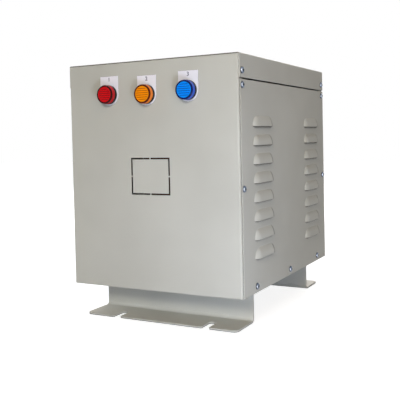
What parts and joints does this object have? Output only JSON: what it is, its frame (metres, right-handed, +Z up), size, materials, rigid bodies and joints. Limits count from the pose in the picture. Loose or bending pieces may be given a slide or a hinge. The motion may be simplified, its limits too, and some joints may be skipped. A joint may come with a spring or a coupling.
{
  "type": "isolation transformer",
  "caption": "Dry isolation transformer in a louvred sheet-steel enclosure on bent feet, with signal lamps, a knock-out plate, and core, coils and terminals inside.",
  "frame": {"origin": "on the floor under the middle of the whole object", "axes": "+X to the right seen from the lamps' side, +Y from the lamps' side to the cable entries, +Z up"},
  "size_m": [0.31, 0.398, 0.402],
  "materials": {
    "enclosure_paint": "light warm grey powder coat, satin",
    "zinc": "bright zinc plate",
    "core_steel": "lacquered electrical steel laminations",
    "copper": "enamelled copper wire",
    "black_plastic": "moulded, fine grain",
    "rubber": "moulded black rubber",
    "white_plate": "smooth plastic plate",
    "pressboard": "pressed insulation board",
    "phenolic": "moulded phenolic resin",
    "lens_red": "translucent red",
    "lens_amber": "translucent amber",
    "lens_blue": "translucent blue",
    "lead_insulation": "flexible wire insulation"
  },
  "bodies": {
    "root": {"front_panel": "enclosure_paint", "rear_panel": "enclosure_paint", "left_side_panel": "enclosure_paint", "right_side_panel": "enclosure_paint", "top_cover": "enclosure_paint", "base_plate": "enclosure_paint", "front_foot": "enclosure_paint", "rear_foot": "enclosure_paint", "cover_screws": "zinc", "left_panel_screws": "zinc", "right_panel_screws": "zinc", "panel_nuts": "zinc", "foot_bolts": "zinc", "foot_washers": "zinc", "foot_nuts": "zinc", "legend_plate_1": "white_plate", "legend_plate_2": "white_plate", "legend_plate_3": "white_plate", "lamp_lens_1": "lens_red", "lamp_lens_2": "lens_amber", "lamp_lens_3": "lens_blue", "lamp_body_1": "black_plastic", "lamp_body_2": "black_plastic", "lamp_body_3": "black_plastic", "lamp_gasket_1": "rubber", "lamp_gasket_2": "rubber", "lamp_gasket_3": "rubber", "lamp_nut_1": "black_plastic", "lamp_nut_2": "black_plastic", "lamp_nut_3": "black_plastic", "input_grommet": "rubber", "output_grommet": "rubber", "core_e_stack": "core_steel", "core_i_stack": "core_steel", "coil_former_1": "pressboard", "coil_former_2": "pressboard", "coil_former_3": "pressboard", "secondary_winding_1": "copper", "secondary_winding_2": "copper", "secondary_winding_3": "copper", "insulation_wrap_1": "pressboard", "insulation_wrap_2": "pressboard", "insulation_wrap_3": "pressboard", "primary_winding_1": "copper", "primary_winding_2": "copper", "primary_winding_3": "copper", "lower_clamp_left": "enclosure_paint", "lower_clamp_right": "enclosure_paint", "upper_clamp_left": "enclosure_paint", "upper_clamp_right": "enclosure_paint", "clamp_bolts": "zinc", "clamp_nuts": "zinc", "input_terminal_block": "phenolic", "output_terminal_block": "phenolic", "terminal_screws": "zinc", "primary_leads": "lead_insulation", "secondary_leads": "lead_insulation", "lamp_leads": "lead_insulation", "earth_stud": "zinc"}
  },
  "joints": []
}
